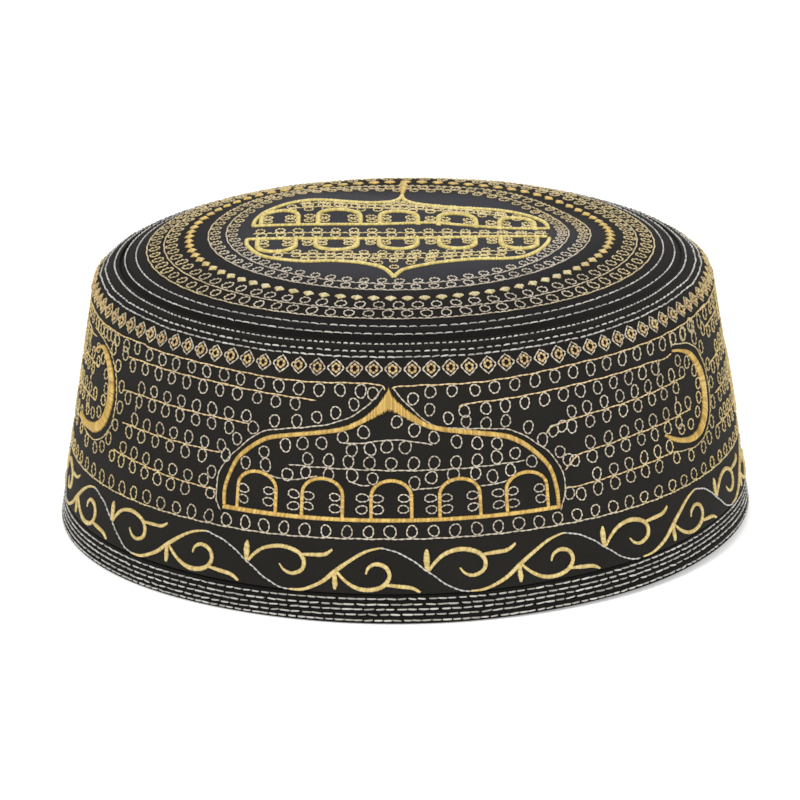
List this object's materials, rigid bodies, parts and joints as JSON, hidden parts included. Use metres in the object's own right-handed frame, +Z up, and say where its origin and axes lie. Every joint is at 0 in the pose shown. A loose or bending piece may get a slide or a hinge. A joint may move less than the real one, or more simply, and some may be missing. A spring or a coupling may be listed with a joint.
{
  "type": "prayer cap",
  "caption": "Round brimless cap with a low domed crown panel, a flared side band and a folded, stitched hem, open underneath.",
  "frame": {"origin": "centre of the rim's lowest face, on the surface that the cap stands on", "axes": "+Z up through the middle of the crown, -Y towards the front motif of the picture"},
  "size_m": [0.1932, 0.1932, 0.0821],
  "materials": {
    "crown_cloth": "stiffened dark charcoal cloth with gold and beige thread",
    "band_cloth": "stiffened black cloth with gold and beige thread",
    "hem_cloth": "folded black cloth with rows of silver topstitching",
    "gold_thread": "lustrous gold embroidery thread",
    "beige_thread": "beige and silver embroidery thread"
  },
  "bodies": {
    "root": {"crown_panel": "crown_cloth", "side_band": "band_cloth", "hem_band": "hem_cloth"}
  },
  "joints": []
}
